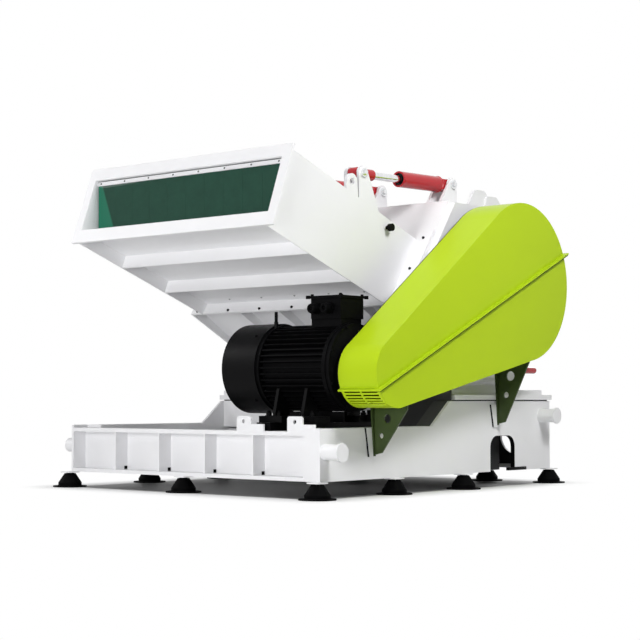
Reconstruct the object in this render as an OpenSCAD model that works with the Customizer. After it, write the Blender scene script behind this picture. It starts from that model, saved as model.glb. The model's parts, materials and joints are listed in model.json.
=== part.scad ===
// Wide-mouth plastic crusher: inclined tilting feed hopper, steel base on pads,
// foot-mounted motor, belt guard and hydraulic cylinders. Millimetres, +Z up.
// +X runs along the motor shaft to the belt guard, the feed mouth faces -Y.

/* [Base frame] */
// Width over the side beams
base_w = 2356; // [2200:2:2500]
// Length from the front beam to the rear beam
base_l = 2695; // [2600:5:2800]
// Height of the underside of the frame above the floor
under_z = 110; // [100:2:130]
// Top of the low front part of the frame
low_top = 446; // [430:2:470]
// Top of the high rear part of the frame
high_top = 618; // [600:2:640]
// Plate thickness of the frame
frame_t = 20; // [12:1:25]
// Depth of the front channel
front_depth = 115; // [90:5:140]
// Number of bays between the front ribs
front_bays = 5; // [3:1:8]
// Width of the right-hand box beam
box_w = 141; // [120:1:180]
// Width of the service arch in the right-hand beam
arch_w = 318; // [280:2:340]
// Top of the service arch
arch_top = 367; // [330:1:390]
// Thickness of each bed plate
bed_t = 36; // [25:1:40]
// Radius of the discharge hole in the rear plate
discharge_r = 140; // [100:1:150]

/* [Pads and trunnions] */
// Radius of a pad's floor disc
pad_disc_r = 121; // [110:1:130]
// Radius of the rubber at its foot
pad_foot_r = 84; // [75:1:95]
// Radius of the rubber at its top
pad_top_r = 40; // [34:1:50]
// Radius of a lifting trunnion
trunnion_r = 50; // [40:1:60]
// How far a right-hand trunnion stands out
trunnion_l = 145; // [120:5:170]
// How far the plain left-hand trunnions stand out
boss_l = 75; // [40:5:80]
// Radius of the trunnion's end collar
collar_r = 60; // [55:1:75]

/* [Motor] */
// Shaft centre from the front of the base
motor_y = 410; // [390:2:430]
// Shaft centre above the floor
motor_z = 838; // [830:1:850]
// Radius of the fan cowl
cowl_r = 303; // [290:1:310]
// Radius over the cooling fins
fin_r = 286; // [276:1:288]
// Radius of the motor shell under the fins
shell_r = 250; // [240:1:255]
// Number of cooling fins
fin_n = 44; // [24:4:60]
// Underside of the motor feet
foot_z = 480; // [476:1:486]

/* [Belt guard] */
// Depth of the guard along the shafts
guard_depth = 310; // [280:5:330]
// Radius of the big end
guard_big_r = 562; // [540:2:570]
// Radius of the small end
guard_small_r = 224; // [210:2:235]
// Sheet thickness of the guard
guard_t = 5; // [3:1:8]
// Number of slot rows in the small end
slot_rows = 5; // [3:1:6]

/* [Hopper] */
// Width over the hopper sides
hopper_w = 1800; // [1700:10:1860]
// Width over the mouth flange
mouth_w = 1926; // [1880:2:1960]
// Tilt of the chute below level
chute_tilt = 20; // [18:0.5:22]
// Sheet thickness of the hopper
hopper_t = 8; // [6:1:12]
// Depth of the cross ribs under the chute
rib_h = 95; // [80:5:110]
// Number of curtain strips
strip_n = 10; // [8:1:12]

/* [Hydraulics] */
// Distance of the outer cylinders from the middle
cyl_outer_x = 833; // [800:1:833]
// Distance of the inner cylinders from the middle
cyl_inner_x = 182; // [150:2:400]
// Radius of a barrel
barrel_r = 57; // [50:1:58]
// Radius of a piston rod
rod_r = 27; // [22:1:30]
// Radius of the cylinder pins
pin_r = 20; // [16:1:22]
// Extra radius of the open pivot at the rod eye
open_gap = 7; // [6:0.5:9]

/* [Hidden] */
$fn = 64;
side_x = base_w / 2;

// Guard geometry
guard_in_x = side_x + 12;
guard_out_x = guard_in_x + guard_depth;
big_c = [1870, 1460];
small_c = [389, 799];
split_m = 0.4507;
split_y0 = 181;
split_z0 = 687;
split_lip = 30;

// Feed chute in side view: [y, z] of the mouth corners and the split plane
mouth_bottom = [-206, 1738];
mouth_h = 577;

// The object's middle in plan, so that its box stands centred on the origin
pad_x = side_x - 5;
mid_x = (guard_out_x + split_lip - max(side_x + boss_l, pad_x + pad_disc_r)) / 2;
screen_end = 2780;
screen_r = 26;
mid_y = (screen_end + screen_r + mouth_bottom[0]) / 2;
mouth_top = mouth_bottom + mouth_h * [sin(chute_tilt), cos(chute_tilt)];
split_tilt = 35;
split_lo = [1082, 1302];
flange_low = -30;
split_dir = [sin(split_tilt), cos(split_tilt)];
chute_dir = [cos(chute_tilt), -sin(chute_tilt)];
plate_top_z = 2055;

// Where a line from p along d meets the split plane, moved forward by s
function to_split(p, d, s = 0) =
  let (o = split_lo + s * [-cos(split_tilt), sin(split_tilt)],
       n = [cos(split_tilt), -sin(split_tilt)],
       k = ((o - p) * n) / (d * n))
  p + k * d;

// Hydraulic pivots
rear_pin = [1838, 2204];
front_pin = [790, 2178];
cyl_x = [-cyl_outer_x, -cyl_inner_x, cyl_inner_x, cyl_outer_x];
lug_gap = 45;
lug_t = 22;
cyl_len = norm(rear_pin - front_pin);
cyl_ang = atan2(rear_pin[1] - front_pin[1], rear_pin[0] - front_pin[0]);

// Hinge of the hopper
roof_end = to_split(mouth_top - 6 * [sin(chute_tilt), cos(chute_tilt)], chute_dir);
roof_along = (roof_end - split_lo) * split_dir;
hinge_up = 131;
hinge_along = roof_along + hinge_up;
hinge_off = 25;
hinge = split_lo + hinge_along * split_dir + hinge_off * [-cos(split_tilt), sin(split_tilt)];
hinge_x = [-520, 0, 520];
hinge_r = 22;
hinge_pin_r = 10;

module at_row() translate([-mid_x, -mid_y, 0]) children();

// Extrudes a [y, z] outline along X from x0 to x1
module along_x(x0, x1)
  translate([x0, 0, 0]) rotate([90, 0, 90]) linear_extrude(x1 - x0) children();

// Extrudes an [x, z] outline along Y from y0 to y1
module along_y(y0, y1)
  translate([0, y1, 0]) rotate([90, 0, 0]) linear_extrude(y1 - y0) children();

// Round bar along X
module bar_x(x0, x1, y, z, r) translate([x0, y, z]) rotate([0, 90, 0]) cylinder(r = r, h = x1 - x0);

// Round bar along Y
module bar_y(y0, y1, x, z, r) translate([x, y0, z]) rotate([-90, 0, 0]) cylinder(r = r, h = y1 - y0);

// ---- Base frame ----
step_y0 = 1188;
step_y1 = 1401;

// Side outline of the frame, drawn in by d
module side_outline(d = 0)
  polygon([[d, under_z + d], [base_l - d, under_z + d], [base_l - d, high_top - d],
           [step_y1 + 0.38 * d, high_top - d], [step_y0 + 0.38 * d, low_top - d], [d, low_top - d]]);

arch_y = base_l - 639;
arch_r = 85;

// Arched opening that starts at the frame's underside and reaches back by extra
module arch_outline(extra = 0) {
  y0 = arch_y - arch_w / 2;
  w = arch_w + extra;
  translate([y0, under_z - 1]) square([w, arch_top - arch_r - under_z + 1]);
  translate([y0 + arch_r, under_z - 1]) square([w - 2 * arch_r, arch_top - under_z + 1]);
  for (y = [y0 + arch_r, y0 + w - arch_r]) translate([y, arch_top - arch_r]) circle(r = arch_r);
}

front_x1 = side_x - box_w;
front_x0 = -side_x + frame_t;
bay = (front_x1 - front_x0) / front_bays;
flange_top = low_top - 21;
module base_front_beam() color("white") at_row() {
  difference() {
    along_x(front_x0, front_x1) union() {
      translate([front_depth, under_z]) square([frame_t, flange_top - under_z]);
      translate([0, flange_top - 27]) square([front_depth + frame_t, 27]);
      translate([0, under_z]) square([front_depth + frame_t, 25]);
    }
  }
  for (i = [1:front_bays - 1])
    translate([front_x0 + i * bay - 8, 2, under_z + 25])
      difference() {
        cube([16, front_depth - 2, flange_top - 27 - under_z - 25]);
        translate([-1, front_depth - 32, -1]) cube([18, 31, 26]);
      }
}

// Side plates of the right-hand box beam; the inner one's opening reaches further back
inner_arch = 250;
foot_t = 12;
module base_right_beam() color("white") at_row() {
  along_x(side_x - frame_t, side_x) difference() {
    side_outline();
    arch_outline();
  }
  // Plates that carry the feet of the guard brackets
  for (b = [[bracket_y[0], 256, 190], [bracket_y[1], 432, 160]])
    along_x(side_x, side_x + foot_t)
      polygon([[b[0] - 56, b[1]], [b[0] + 8, b[1]], [b[0] + 8, b[1] + b[2]], [b[0] - 90, b[1] + b[2]]]);
  along_x(front_x1, front_x1 + frame_t) difference() {
    side_outline();
    arch_outline(inner_arch);
    slope_band();
  }
}

// The slope is closed by a dark plate of its own
module slope_band()
  polygon([[step_y0 - 8, low_top + 1], [step_y1 - 2, high_top + 1], [step_y1 + 21, high_top + 1],
           [step_y1 + 21, high_top - frame_t - 1], [step_y0 + 30, low_top - frame_t - 1],
           [step_y0 - 8, low_top - frame_t - 1]]);

// Rim plates that close the box beam all round
module base_right_core() color("white") at_row()
  along_x(front_x1 + frame_t, side_x - frame_t) difference() {
    side_outline();
    side_outline(frame_t);
    arch_outline(inner_arch);
    slope_band();
  }

// The left-hand beam is low outside, and its inner plate carries the high part
high_left = side_x - box_w;
module base_left_beam() color("white") at_row() {
  along_x(-side_x, -side_x + frame_t)
    translate([0, under_z]) square([base_l, low_top - under_z]);
  along_x(-high_left, -high_left + frame_t) intersection() {
    side_outline();
    translate([front_depth + frame_t, 0]) square([base_l - front_depth - 2 * frame_t, high_top]);
  }
  along_x(-side_x + frame_t, -high_left) {
    translate([front_depth + frame_t, under_z])
      square([base_l - frame_t - front_depth - frame_t, 25]);
    translate([front_depth + frame_t, low_top - frame_t])
      square([base_l - frame_t - front_depth - frame_t, frame_t]);
  }
}

// The rear plate has a round hole for the discharge pipe
module base_rear_beam() color("white") at_row() {
  difference() {
    union() {
      translate([-high_left, base_l - frame_t, under_z])
        cube([high_left + front_x1, frame_t, high_top - under_z]);
      translate([-side_x + frame_t, base_l - frame_t, under_z])
        cube([side_x, frame_t, low_top - under_z]);
    }
    bar_y(base_l - frame_t - 1, base_l + 1, discharge_x, discharge_z, discharge_r);
  }
  translate([-high_left + frame_t, base_l - 140, under_z])
    cube([high_left + front_x1 - frame_t, 120, 25]);
}

cross_y = [930, 1480, base_l - 600];
seal_t = 8;
bed_over = 12;
bed_top = high_top + seal_t + 2 * bed_t;
discharge_x = front_x1 - 153;
discharge_z = 352;
module base_cross_beams() color("white") at_row()
  for (y = cross_y)
    along_x(-high_left + frame_t, front_x1)
      translate([y, under_z]) difference() {
        square([110, flange_top - 25 - under_z]);
        translate([12, 12]) square([86, flange_top - 49 - under_z]);
      }

// Plate that closes the high part of the frame towards the motor
cover_x = 560;
module bed_front_plate() color("white") at_row()
  translate([-high_left + frame_t, step_y1 + 20, low_top - 30])
    cube([cover_x + high_left - frame_t, 12, high_top - low_top + 30]);

// Dark cover beside the belt guard: an upright plate and the slope of the box beam
module bed_end_cover() color("black") at_row() {
  translate([cover_x, step_y1 + 20, low_top - 30])
    cube([front_x1 - cover_x, 12, high_top - low_top + 30]);
  translate([cover_x, step_y1 + 20, high_top]) cube([side_x - 8 - cover_x, 12, bed_top - high_top]);
  along_x(front_x1, side_x - frame_t)
    polygon([[step_y0 - 8, low_top], [step_y0, low_top], [step_y1, high_top], [step_y1 + 20, high_top],
             [step_y1 + 20, high_top - frame_t], [step_y1 + 8, high_top - frame_t],
             [step_y0 + 8, low_top - frame_t], [step_y0 - 8, low_top - frame_t]]);
}

// Two bed plates under the housing, on a narrow seal strip
bed_y0 = step_y1 + 40;
bed_left = high_left + 8;
module bed_plates() color("white") at_row() {
  translate([-bed_left + 14, bed_y0, high_top]) cube([side_x + bed_left - 28, base_l - 14 - bed_y0, seal_t]);
  translate([-bed_left - 38, bed_y0, high_top + seal_t])
    cube([side_x + bed_over + bed_left + 38, base_l + 12 - bed_y0, bed_t]);
  translate([-bed_left - 30, bed_y0 + 40, high_top + seal_t + bed_t])
    cube([side_x - 70 + bed_left + 30, base_l + 2 - bed_y0 - 40, bed_t]);
}

table_z = flange_top - 25;
module motor_table() color("white") at_row() {
  difference() {
    translate([side_x - 1028, front_depth + frame_t, table_z]) cube([1028 - box_w, 905, 25]);
  }
  // Upright lugs for the belt tensioning screws, and a low wall beside each
  translate([front_x1, 20, low_top]) cube([80, 14, 24]);
  for (x = [side_x - 673, side_x - 228])
    difference() {
      translate([x - 64, 20, flange_top]) {
        cube([128, 14, 70]);
        translate([128, 0, 0]) cube([min(110, front_x1 - x - 64), 14, 45]);
        translate([0, 14, 70]) rotate([90, 0, 0]) linear_extrude(14) {
          translate([20, 0]) square([88, 27]);
          for (u = [20, 108]) translate([u, 7]) circle(r = 20);
        }
      }
      bar_y(10, 44, x, flange_top + 62, 13);
    }
}

trunnion_y = [50, base_l - 125];
trunnion_z = [299, 508];
module trunnions() color("white") at_row()
  for (i = [0, 1]) {
    translate([side_x, trunnion_y[i], trunnion_z[i]]) rotate([0, 90, 0]) {
      cylinder(r = trunnion_r, h = trunnion_l - 14);
      translate([0, 0, trunnion_l - 14]) cylinder(r = collar_r, h = 14);
    }
    translate([-side_x, trunnion_y[i], min(trunnion_z[i], low_top - 70)]) rotate([0, -90, 0])
      cylinder(r = trunnion_r, h = boss_l);
  }

pad_y = [-18, 771, 1567, base_l - 10];
foot_a = 96;
foot_h = 8;
pad_xy = concat(
  [for (s = [-1, 1], y = pad_y) [s * pad_x, y]],
  [[(front_x0 + front_x1) / 2 + 4, 25]],
  [for (s = [-1, 1]) [s * 638, base_l - 51]]);
// Each pad: floor disc, rubber bell and stud
module pads() color("black") at_row()
  for (p = pad_xy) translate([p[0], p[1], 0]) {
    cylinder(r = pad_disc_r, h = 9);
    translate([0, 0, 9]) cylinder(r = pad_foot_r, h = 22);
    translate([0, 0, 31]) cylinder(r1 = pad_foot_r, r2 = pad_top_r, h = under_z - 31 - foot_h - 5);
    translate([0, 0, under_z - foot_h - 6]) cylinder(r = 26, h = 6);
  }

// Square plates between the pads and the beams
module foot_plates() color("white") at_row()
  for (p = pad_xy) translate([p[0] - foot_a / 2, p[1] - foot_a / 2, under_z - foot_h])
    cube([foot_a, foot_a, foot_h]);

// ---- Motor ----
cowl_x0 = side_x - 984;
cowl_x1 = side_x - 662;
frame_x1 = side_x - 62;
shield_x1 = side_x - 12;
module motor_frame() color("black") at_row() {
  bar_x(cowl_x1, frame_x1, motor_y, motor_z, shell_r);
  for (i = [0:fin_n - 1])
    translate([0, motor_y, motor_z]) rotate([i * 360 / fin_n, 0, 0])
      translate([cowl_x1 + 30, -4, shell_r - 6]) cube([frame_x1 - cowl_x1 - 60, 8, fin_r - shell_r + 6]);
  for (x = [cowl_x1, frame_x1 - 28]) bar_x(x, x + 28, motor_y, motor_z, fin_r + 6);
}

// Feet and their webs, cut to the motor's round
module motor_feet() color("black") at_row() difference() {
  union() {
    for (s = [-1, 1], x = [cowl_x1 + 42, side_x - 332])
      translate([x, motor_y + s * 225 - 75, foot_z]) cube([200, 150, 42]);
    for (s = [-1, 1], x = [cowl_x1 + 156, side_x - 262])
      translate([x, motor_y, 0]) along_x(0, 24)
        polygon([[s * 290, foot_z + 42], [s * 292, foot_z + 60], [s * 240, motor_z - 90],
                 [s * 160, motor_z - 150], [s * 150, foot_z + 42]]);
  }
  bar_x(cowl_x1, frame_x1, motor_y, motor_z, fin_r + 0.2);
}

module motor_fan_cowl() color("black") at_row() {
  bar_x(cowl_x0 + 26, cowl_x1, motor_y, motor_z, cowl_r);
  translate([cowl_x0, motor_y, motor_z]) rotate([0, 90, 0]) cylinder(r1 = cowl_r - 30, r2 = cowl_r, h = 26);
}

module motor_end_shield() color("black") at_row() {
  bar_x(frame_x1, frame_x1 + 30, motor_y, motor_z, fin_r);
  translate([frame_x1 + 30, motor_y, motor_z]) rotate([0, 90, 0])
    cylinder(r1 = fin_r - 20, r2 = 170, h = shield_x1 - frame_x1 - 30);
}

tbox_x = [side_x - 325, side_x - 71];
tbox_y = [motor_y - 117, motor_y + 117];
tbox_z = [motor_z + 320, motor_z + 455];
lid_over = 22;
module motor_terminal_box() color("black") at_row() {
  difference() {
    translate([tbox_x[0] - 6, tbox_y[0] + 14, motor_z + 200])
      cube([tbox_x[1] - tbox_x[0], tbox_y[1] - tbox_y[0] - 28, tbox_z[0] - motor_z - 200]);
    bar_x(tbox_x[0] - 10, frame_x1, motor_y, motor_z, fin_r + 0.2);
    bar_x(frame_x1 - 28, shield_x1, motor_y, motor_z, fin_r + 6.2);
  }
  translate([tbox_x[0], tbox_y[0], tbox_z[0]])
    cube([tbox_x[1] - tbox_x[0], tbox_y[1] - tbox_y[0], tbox_z[1] - tbox_z[0]]);
  translate([tbox_x[0] - lid_over + 10, tbox_y[0] - lid_over + 10, tbox_z[1]])
    cube([tbox_x[1] - tbox_x[0] + 2 * lid_over - 20, tbox_y[1] - tbox_y[0] + 2 * lid_over - 20, 16]);
  for (x = [tbox_x[0] + 50, tbox_x[1] - 92]) bar_y(tbox_y[0] - 52, tbox_y[0], x, tbox_z[0] + 66, 34);
}

module motor_rails() color("black") at_row()
  for (x = [cowl_x1 + 68, side_x - 288])
    translate([x, 60, flange_top]) cube([120, 760, foot_z - flange_top]);

eye_turn = 40;
module motor_eye_bolt() color("black") at_row()
  translate([cowl_x1 + 15, motor_y - 100, motor_z]) {
    difference() {
      translate([0, 0, 250]) cylinder(r = 14, h = 62);
      translate([0, 100, 0]) rotate([0, 90, 0]) translate([0, 0, -60]) cylinder(r = fin_r + 6, h = 120);
    }
    translate([0, 0, 342]) rotate([0, 0, eye_turn]) rotate([0, 90, 0]) translate([0, 0, -10])
      difference() {
        cylinder(r = 38, h = 20);
        translate([0, 0, -1]) cylinder(r = 22, h = 22);
      }
  }

// ---- Belt guard ----
// Two round ends and the straight sides between them, as a block from x0 to x1
module drop_block(x0, x1, r1, r2) {
  d = big_c - small_c;
  len = norm(d);
  u = d / len;
  v = [-u[1], u[0]];
  c = (r1 - r2) / len;
  s = sqrt(1 - c * c);
  n1 = c * u + s * v;
  n2 = c * u - s * v;
  // The straight sides lie 1 inside the true tangents, so that they cross the rounds cleanly
  q1 = r1 - 1;
  q2 = r2 - 1;
  bar_x(x0, x1, small_c[0], small_c[1], r1, $fn = 128);
  bar_x(x0, x1, big_c[0], big_c[1], r2, $fn = 128);
  along_x(x0, x1) polygon([small_c + q1 * n1, big_c + q2 * n1, big_c + q2 * n2, small_c + q1 * n2]);
}

// Half of the side view above (up = 1) or below (up = -1) the split line
module split_half(up, lift = 0)
  along_x(guard_in_x - 50, guard_out_x + 50)
    polygon([[-600, split_z0 + lift + split_m * (-600 - split_y0)],
             [3200, split_z0 + lift + split_m * (3200 - split_y0)],
             [3200, up > 0 ? 3200 : -800], [-600, up > 0 ? 3200 : -800]]);

module guard_shell(up)
  intersection() {
    difference() {
      drop_block(guard_in_x, guard_out_x, guard_small_r, guard_big_r);
      drop_block(guard_in_x - 1, guard_out_x - guard_t, guard_small_r - guard_t, guard_big_r - guard_t);
    }
    split_half(up);
  }

module guard_back_plate() color("black") at_row()
  difference() {
    drop_block(side_x, guard_in_x, guard_small_r - 3, guard_big_r - 3);
    bar_x(side_x - 1, guard_in_x + 1, motor_y, motor_z, 60);
  }

module guard_upper_cover() color("yellowgreen") at_row() {
  guard_shell(1);
  // Folded lip along the joint
  intersection() {
    difference() {
      drop_block(guard_in_x, guard_out_x + split_lip, guard_small_r + split_lip, guard_big_r + split_lip);
      drop_block(guard_in_x - 1, guard_out_x - 0.5, guard_small_r - 0.5, guard_big_r - 0.5);
    }
    split_half(1);
    split_half(-1, 12);
  }
}

module guard_lower_cover() color("yellowgreen") at_row()
  difference() {
    guard_shell(-1);
    for (i = [0:slot_rows - 1], j = [0, 1])
      translate([guard_in_x + 20 + j * 142, small_c[0], small_c[1]])
        rotate([33.3 + 6.9 * i, 0, 0])
          translate([0, -guard_small_r - 10, -7]) cube([128, 40, 14]);
  }

// Web plate across the beam and a flange along it, cut to the guard's underside
bracket_y = [541, 1983];
bracket_t = 12;
module guard_bracket(y, z0, z1, z2, holes) {
  x0 = side_x + foot_t;
  difference() {
    union() {
      along_y(y - bracket_t, y) difference() {
        polygon([[x0, z0], [x0 + 66, z0 + 14], [side_x + 288, z2], [side_x + 288, z2 + 90], [x0, z1 + 90]]);
        for (h = holes) translate([side_x + h[0], h[1]]) circle(r = h[2]);
      }
      along_x(x0, x0 + 10)
        polygon([[y - 14, z0 - 8], [y - 1, z0 - 8], [y - 1, z1 + 90], [y - 54, z1 + 90]]);
    }
    drop_block(side_x, guard_out_x + 20, guard_small_r, guard_big_r);
  }
}

module guard_bracket_front() color("darkolivegreen") at_row()
  guard_bracket(bracket_y[0], 268, 565, 565, [[125, 505, 28], [75, 393, 18]]);

module guard_bracket_rear() color("darkolivegreen") at_row()
  guard_bracket(bracket_y[1], 452, 832, 901, [[126, 798, 34], [88, 662, 22]]);

// ---- Crusher housing ----
house_x = 1045;
split_hi = split_lo + (plate_top_z - split_lo[1]) / split_dir[1] * split_dir;
house_rear = base_l - 275;
wall_in = 90;
wall_lo = [1500 + wall_in, 1068];
joint_z = 1460;
joint_y = 1420;
module lower_housing() color("white") at_row() {
  along_x(-house_x, house_x)
    polygon([[1500, bed_top], [house_rear, bed_top], [house_rear, joint_z], [joint_y, joint_z], wall_lo,
             [1500, wall_lo[1]]]);
  // Foot flange and a rail above it on each side
  for (s = [-1, 1]) {
    translate([s > 0 ? house_x : -house_x - 26, 1500, bed_top]) cube([26, house_rear - 1500, 24]);
    translate([s > 0 ? house_x : -house_x - 20, 1500, bed_top + 56]) cube([20, house_rear - 1500, 18]);
  }
}

roof_z1 = 2040;
module upper_outline()
    polygon([split_lo + [30, 0], split_lo + [30 + wall_in, 0], wall_lo, [joint_y, joint_z],
             [house_rear, joint_z], [2380, 1780], [2250, 1960],
             [1960, roof_z1], split_hi + [30 - 0.7 * (plate_top_z - roof_z1), -(plate_top_z - roof_z1)]]);

// Gusset between the front plate and the sloping front wall
module gusset_outline() {
  low = split_lo + flange_low * split_dir + [30, 0];
  polygon([low + [seam, 0], split_lo + 2 * split_dir + [30 + seam, 0], split_lo + [32 + wall_in, 1],
           wall_lo + [-6, 6], wall_lo, wall_lo - [wall_in, 0]]);
}

plate_x = 1025;
cheek_t = 25;
// Body and its two stout side plates
gusset_x = [-1038, -541, -151, 239, 629, 1038];
module upper_housing() color("white") at_row() {
  along_x(-house_x, house_x) upper_outline();
  for (x = gusset_x) along_x(x - 7, x + 7) gusset_outline();
  for (s = [-1, 1])
    along_x(s > 0 ? house_x : -house_x - cheek_t, s > 0 ? house_x + cheek_t : -house_x)
      difference() {
        upper_outline();
        translate([1200, 1000]) square([1300, 400]);
      }
}

module housing_front_plate() color("lightgray") at_row()
  along_x(-plate_x, plate_x)
    polygon([split_lo + flange_low * split_dir, split_lo + flange_low * split_dir + [30, 0],
             split_hi + [30, 0], split_hi]);

// Plates over the cylinders' rear pins, on the housing roof
module housing_lugs() color("white") at_row()
  for (x = cyl_x, s = [-1, 1])
    along_x(x + s * (lug_gap + lug_t / 2) - lug_t / 2, x + s * (lug_gap + lug_t / 2) + lug_t / 2)
      difference() {
        union() {
          translate(rear_pin) circle(r = 50);
          polygon([rear_pin + [-50, 0], rear_pin + [50, 0], [rear_pin[0] + 50, roof_z1],
                   [split_hi[0] + 60, roof_z1]]);
        }
        translate(rear_pin) circle(r = pin_r);
      }

module rear_lugs() color("white") at_row()
  for (s = [-1, 1]) {
    along_x(s * 890 - 12, s * 890 + 12) difference() {
      polygon([[2000, 1950], [2013, 2037], [2101, 2173], [2124, 2188], [2152, 2196], [2233, 2199], [2262, 2186],
               [2283, 2160], [2296, 1900]]);
      upper_outline();
    }
    along_x(s * 911 - 9, s * 911 + 9) difference() {
      polygon([[2215, 1900], [2232, 2080], [2246, 2146], [2262, 2157], [2368, 2160], [2392, 2148], [2424, 2118],
               [2402, 1860], [2370, 1750]]);
      upper_outline();
    }
  }

module screen_cylinder() color("crimson") at_row() {
  bar_y(house_rear, screen_end, 980, 852, screen_r);
  translate([980, screen_end, 852]) sphere(r = screen_r);
}

// ---- Feed hopper ----
chute_x = hopper_w / 2;
floor_lift = 60;
chute_top0 = mouth_top - 6 * [sin(chute_tilt), cos(chute_tilt)];
floor0 = mouth_bottom + floor_lift * [sin(chute_tilt), cos(chute_tilt)];
flange_fwd = 14;
seam = 0.05;

// A slab along the chute between heights h0 and h1 above the lower mouth edge
module chute_slab(h0, h1, s0 = rim_t + seam) {
  up = [sin(chute_tilt), cos(chute_tilt)];
  a = mouth_bottom + h0 * up + s0 * chute_dir;
  b = mouth_bottom + h1 * up + s0 * chute_dir;
  polygon([a, to_split(a, chute_dir, flange_fwd + seam), to_split(b, chute_dir, flange_fwd + seam), b]);
}

module hopper_chute() color("white") at_row() {
  for (s = [-1, 1])
    along_x(s > 0 ? chute_x - hopper_t : -chute_x, s > 0 ? chute_x : -chute_x + hopper_t)
      chute_slab(0, mouth_h - 6);
  along_x(-chute_x + hopper_t, chute_x - hopper_t) {
    chute_slab(rib_h, rib_h + hopper_t);
    chute_slab(mouth_h - 6 - hopper_t, mouth_h - 6);
  }
}

rim = 70;
rim_t = 20;
module mouth_flange() color("white") at_row() {
  difference() {
    along_x(-mouth_w / 2, mouth_w / 2) mouth_slab(0, mouth_h);
    along_x(-mouth_w / 2 + rim, mouth_w / 2 - rim) mouth_slab(rib_h, mouth_h - 90, 2);
  }
}

module mouth_slab(h0, h1, g = 0) {
  up = [sin(chute_tilt), cos(chute_tilt)];
  a = mouth_bottom + h0 * up - g * chute_dir;
  b = mouth_bottom + h1 * up - g * chute_dir;
  polygon([a, a + (rim_t + 2 * g) * chute_dir, b + (rim_t + 2 * g) * chute_dir, b]);
}

rib_s = [452, 912];
module hopper_ribs() color("white") at_row()
  for (s = rib_s)
    along_x(-chute_x + hopper_t, chute_x - hopper_t) {
      up = [sin(chute_tilt), cos(chute_tilt)];
      p = mouth_bottom + s * chute_dir;
      polygon([p, p + 10 * chute_dir, p + 10 * chute_dir + (rib_h - seam) * up, p + (rib_h - seam) * up]);
    }

module hopper_rear_flange() color("white") at_row()
  difference() {
    along_x(-1020, 1020) {
      f = -[cos(split_tilt), -sin(split_tilt)];
      a = split_lo + flange_low * split_dir + 1 * f;
      b = split_lo + (roof_along + 81) * split_dir + 1 * f;
      polygon([a, b, b + (flange_fwd - 1) * f, a + (flange_fwd - 1) * f]);
    }
    along_x(-chute_x + 60, chute_x - 60) {
      a = split_lo + 130 * split_dir;
      b = split_lo + 560 * split_dir;
      n = [cos(split_tilt), -sin(split_tilt)];
      polygon([a + 30 * n, b + 30 * n, b - 40 * n, a - 40 * n]);
    }
  }

function roof_z(y) = mouth_top[1] - (y - mouth_top[0]) * tan(chute_tilt) - 6 / cos(chute_tilt);
module hopper_lugs() color("white") at_row()
  for (x = cyl_x, s = [-1, 1])
    along_x(x + s * (lug_gap + lug_t / 2) - lug_t / 2, x + s * (lug_gap + lug_t / 2) + lug_t / 2)
      difference() {
        union() {
          translate(front_pin) circle(r = 48);
          polygon([front_pin + [-48, 0], front_pin + [46, 14],
                   [front_pin[0] + 170, roof_z(front_pin[0] + 170) + seam],
                   [front_pin[0] - 48, roof_z(front_pin[0] - 48) + seam]]);
        }
        translate(front_pin) circle(r = pin_r);
      }

eye_y = 668;
eye_up = 79;
eye = [eye_y, roof_z(eye_y) + eye_up];
eye_r = 24;
module lifting_eyes() color("white") at_row()
  for (s = [-1, 1])
    along_x(s * (chute_x - 13) - 13, s * (chute_x - 13) + 13) difference() {
      union() {
        translate(eye) circle(r = 54);
        polygon([[eye[0] - 62, roof_z(eye[0] - 62) + seam], [eye[0] + 62, roof_z(eye[0] + 62) + seam],
                 [eye[0] + 53, eye[1]], [eye[0] - 53, eye[1]]]);
      }
      translate(eye) circle(r = eye_r);
    }

// Knuckles on the hopper's rear flange
module hopper_hinge() color("white") at_row()
  for (x = hinge_x) difference() {
    union() {
      bar_x(x - 60, x + 60, hinge[0], hinge[1], hinge_r);
      along_x(x - 60, x + 60) {
        f = -[cos(split_tilt), -sin(split_tilt)];
        a = split_lo + (roof_along + 41) * split_dir + (flange_fwd + seam) * f;
        b = split_lo + hinge_along * split_dir + (flange_fwd + seam) * f;
        polygon([a, b, b + 12 * f, a + 12 * f]);
      }
    }
    bar_x(x - 61, x + 61, hinge[0], hinge[1], hinge_pin_r + 0.05);
  }

// Knuckles and pins on the housing's front plate
module housing_hinge() color("white") at_row()
  for (x = hinge_x) {
    bar_x(x - 104, x + 104, hinge[0], hinge[1], hinge_pin_r);
    for (s = [-1, 1]) along_x(x + s * 83 - 20, x + s * 83 + 20) {
      f = -[cos(split_tilt), -sin(split_tilt)];
      a = split_lo + (hinge_along - 20) * split_dir + seam * f;
      b = split_lo + (hinge_along + 20) * split_dir + seam * f;
      translate(hinge) circle(r = hinge_r);
      polygon([a, b, b + hinge_off * f, a + hinge_off * f]);
    }
  }

module curtain_bar() color("white") at_row()
  along_x(-chute_x + hopper_t, chute_x - hopper_t) {
    up = [sin(chute_tilt), cos(chute_tilt)];
    p = mouth_bottom + (mouth_h - 125) * up + 24 * chute_dir;
    polygon([p, p + 6 * chute_dir, p + 6 * chute_dir + 30 * up, p + 30 * up]);
  }

curtain_low = 1846;
module curtain() color("darkslategray") at_row() {
  w = (2 * chute_x - 2 * hopper_t - 20) / strip_n;
  up = [sin(chute_tilt), cos(chute_tilt)];
  a = mouth_bottom + (mouth_h - 97) * up + (30 + seam) * chute_dir;
  b = mouth_bottom + (mouth_h - 123) * up + (30 + seam) * chute_dir;
  for (i = [0:strip_n - 1]) {
    x = -chute_x + hopper_t + 10 + i * w;
    along_x(x + 1, x + w - 1)
      polygon([a, b, [b[0], curtain_low], [b[0] + 5, curtain_low], b + [5, -2], a + [6, -2]]);
  }
}

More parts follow.
